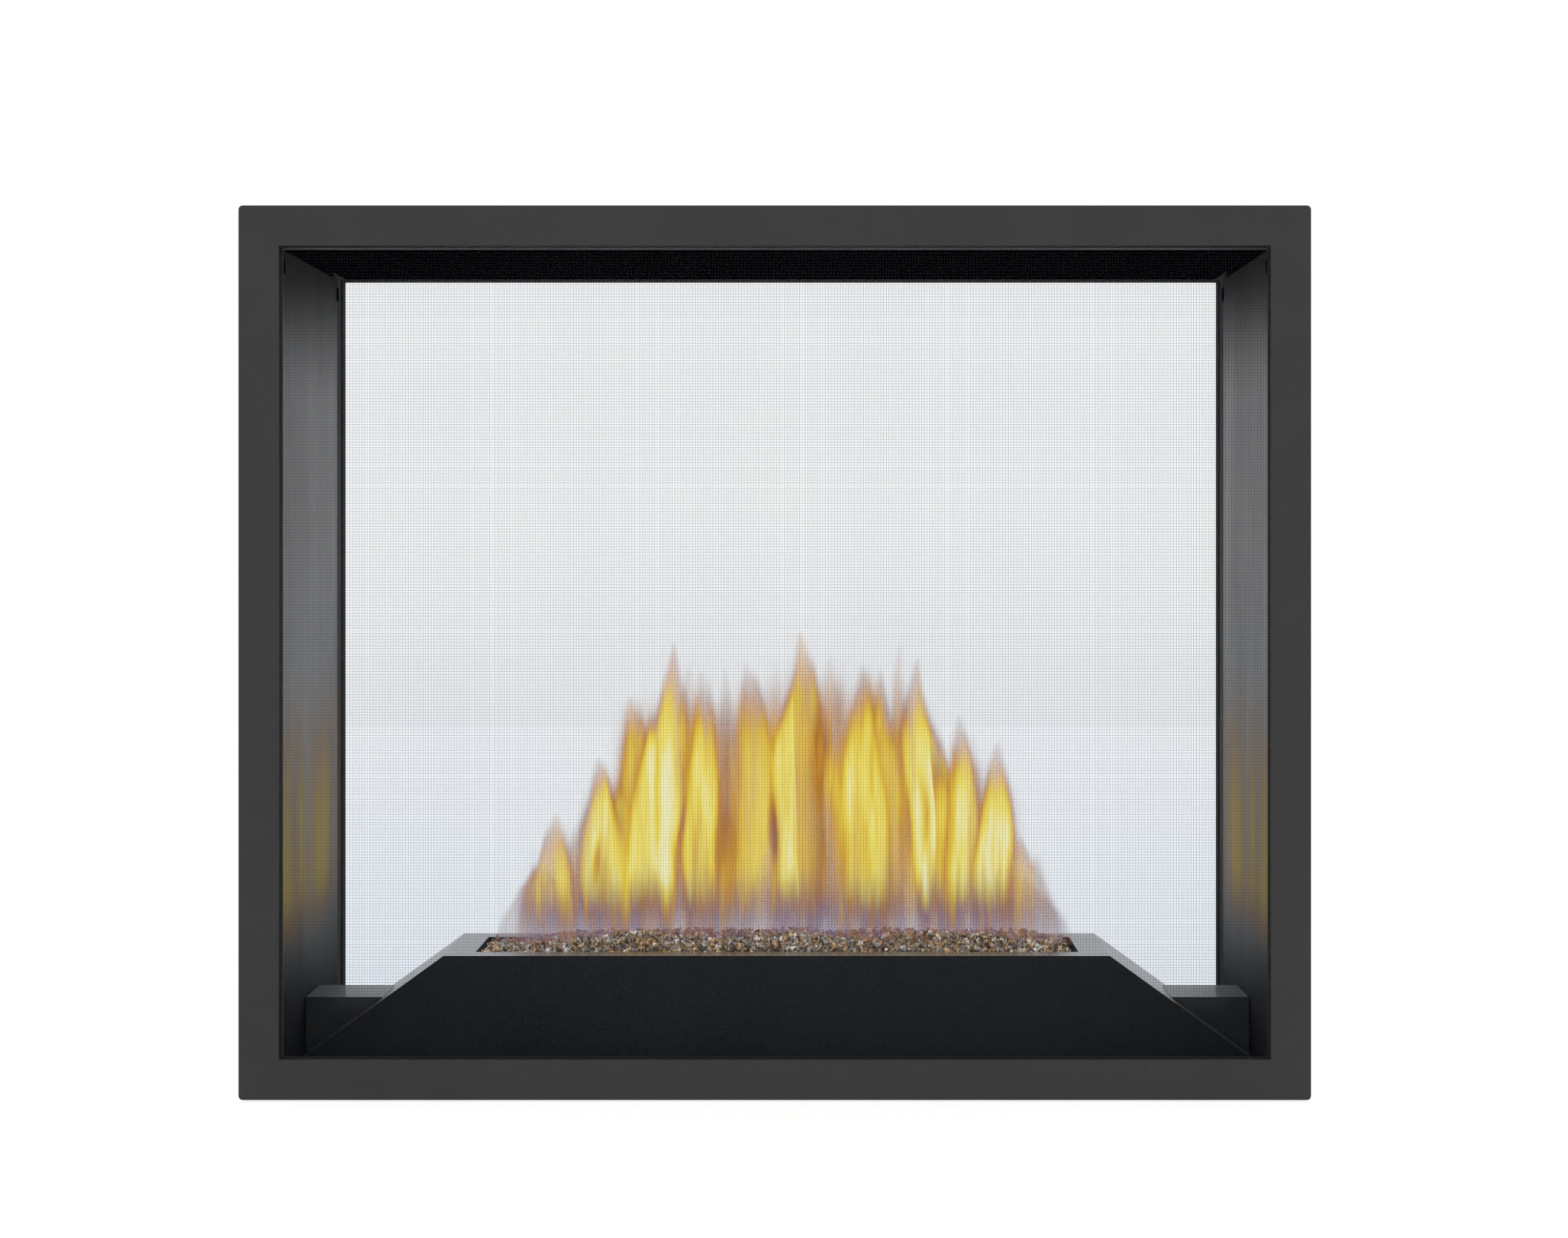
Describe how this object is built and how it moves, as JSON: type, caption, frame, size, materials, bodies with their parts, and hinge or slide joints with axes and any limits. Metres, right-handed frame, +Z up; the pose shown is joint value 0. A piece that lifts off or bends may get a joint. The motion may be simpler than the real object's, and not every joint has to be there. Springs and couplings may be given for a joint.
{
  "type": "see-through gas fireplace",
  "caption": "See-through fireplace open to two rooms: sheet frames with wire screens, glass doors, reflective side panels and a raised gas burner with glass embers.",
  "frame": {"origin": "on the floor under the middle of the cabinet", "axes": "+X to the right as seen from the front room, +Y from the front room to the rear room, +Z up"},
  "size_m": [1.065, 0.62, 0.907],
  "materials": {
    "powder_coat": "fine-textured matt charcoal powder coat",
    "screen_wire": "dark blackened wire, satin",
    "matt_black": "matt heat-resistant black paint",
    "satin_enamel": "glossy black enamel that mirrors what stands behind it",
    "galvanised": "galvanised sheet",
    "bright_steel": "zinc-plated steel",
    "reflective_glass": "opaque black reflective glass",
    "clear_glass": "clear ceramic glass",
    "rope": "woven fibreglass rope",
    "ember_glass": "crushed amber, bronze and clear glass",
    "brass": "machined brass",
    "cast_aluminium": "die-cast aluminium",
    "ceramic": "white glazed ceramic and steel rod",
    "bright_tube": "drawn aluminium tube",
    "black_plastic": "moulded black plastic"
  },
  "bodies": {
    "cabinet": {"firebox_floor": "matt_black", "ceiling_baffle": "matt_black", "burner_housing_front": "matt_black", "burner_housing_rear": "matt_black", "burner_tray": "matt_black", "manifold_pipe": "matt_black", "gas_inlet_pipe": "matt_black", "burner_housing_top": "satin_enamel", "left_ledge": "satin_enamel", "right_ledge": "satin_enamel", "left_ledge_end": "satin_enamel", "right_ledge_end": "satin_enamel", "left_base_rail": "galvanised", "right_base_rail": "galvanised", "base_pan": "galvanised", "left_casing_panel": "galvanised", "right_casing_panel": "galvanised", "casing_top": "galvanised", "left_firebox_wall": "galvanised", "right_firebox_wall": "galvanised", "firebox_top": "galvanised", "front_door_seat": "galvanised", "rear_door_seat": "galvanised", "exhaust_collar": "galvanised", "intake_collar": "galvanised", "burner_pan": "galvanised", "mixing_tube": "galvanised", "junction_box": "galvanised", "pilot_burner": "bright_steel", "left_reflective_panel": "reflective_glass", "right_reflective_panel": "reflective_glass", "glass_embers": "ember_glass", "gas_orifice": "brass", "shutoff_cock": "brass", "gas_valve": "cast_aluminium", "spark_electrode": "ceramic", "flame_sensor": "ceramic", "pilot_tube": "bright_tube", "ignition_module": "black_plastic"},
    "front_face": {"front_surround": "powder_coat", "front_screen": "screen_wire"},
    "rear_face": {"rear_surround": "powder_coat", "rear_screen": "screen_wire"},
    "front_door": {"front_glass_frame": "matt_black", "front_glass": "clear_glass", "front_gasket": "rope"},
    "rear_door": {"rear_glass_frame": "matt_black", "rear_glass": "clear_glass", "rear_gasket": "rope"},
    "front_left_latch": {"front_left_latch": "bright_steel"},
    "front_right_latch": {"front_right_latch": "bright_steel"},
    "rear_left_latch": {"rear_left_latch": "bright_steel"},
    "rear_right_latch": {"rear_right_latch": "bright_steel"},
    "shutoff_lever": {"shutoff_lever": "brass"},
    "regulator_knob": {"regulator_knob": "matt_black"},
    "air_shutter": {"air_shutter": "matt_black"}
  },
  "joints": [
    {"name": "front_face_pull", "type": "slide", "parent": "cabinet", "child": "front_face", "axis": [0, -1, 0], "range_m": [0, 0.15]},
    {"name": "rear_face_pull", "type": "slide", "parent": "cabinet", "child": "rear_face", "axis": [0, 1, 0], "range_m": [0, 0.15]},
    {"name": "front_door_relief", "type": "hinge", "parent": "cabinet", "child": "front_door", "pos_m": [0, -0.2575, 0.0255], "axis": [1, 0, 0], "range_deg": [0, 0.4], "stiffness_Nm_per_rad": 150, "springref_deg": -1.15},
    {"name": "rear_door_relief", "type": "hinge", "parent": "cabinet", "child": "rear_door", "pos_m": [0, 0.2575, 0.0255], "axis": [-1, 0, 0], "range_deg": [0, 0.4], "stiffness_Nm_per_rad": 150, "springref_deg": -1.15},
    {"name": "front_left_latch_turn", "type": "hinge", "parent": "front_door", "child": "front_left_latch", "pos_m": [-0.35, -0.2718, 0.8555], "axis": [1, 0, 0], "range_deg": [0, 75]},
    {"name": "front_right_latch_turn", "type": "hinge", "parent": "front_door", "child": "front_right_latch", "pos_m": [0.35, -0.2718, 0.8555], "axis": [1, 0, 0], "range_deg": [0, 75]},
    {"name": "rear_left_latch_turn", "type": "hinge", "parent": "rear_door", "child": "rear_left_latch", "pos_m": [0.35, 0.2718, 0.8555], "axis": [-1, 0, 0], "range_deg": [0, 75]},
    {"name": "rear_right_latch_turn", "type": "hinge", "parent": "rear_door", "child": "rear_right_latch", "pos_m": [-0.35, 0.2718, 0.8555], "axis": [-1, 0, 0], "range_deg": [0, 75]},
    {"name": "shutoff_turn", "type": "hinge", "parent": "cabinet", "child": "shutoff_lever", "pos_m": [-0.3509, 0, 0.0645], "axis": [0, 0, 1], "range_deg": [0, 90]},
    {"name": "regulator_turn", "type": "hinge", "parent": "cabinet", "child": "regulator_knob", "pos_m": [-0.3106, -0.00924, 0.067], "axis": [0, 0, 1], "range_deg": [0, 120]},
    {"name": "air_shutter_turn", "type": "hinge", "parent": "cabinet", "child": "air_shutter", "pos_m": [-0.19, 0, 0.05], "axis": [1, 0, 0], "range_deg": [0, 40]}
  ]
}
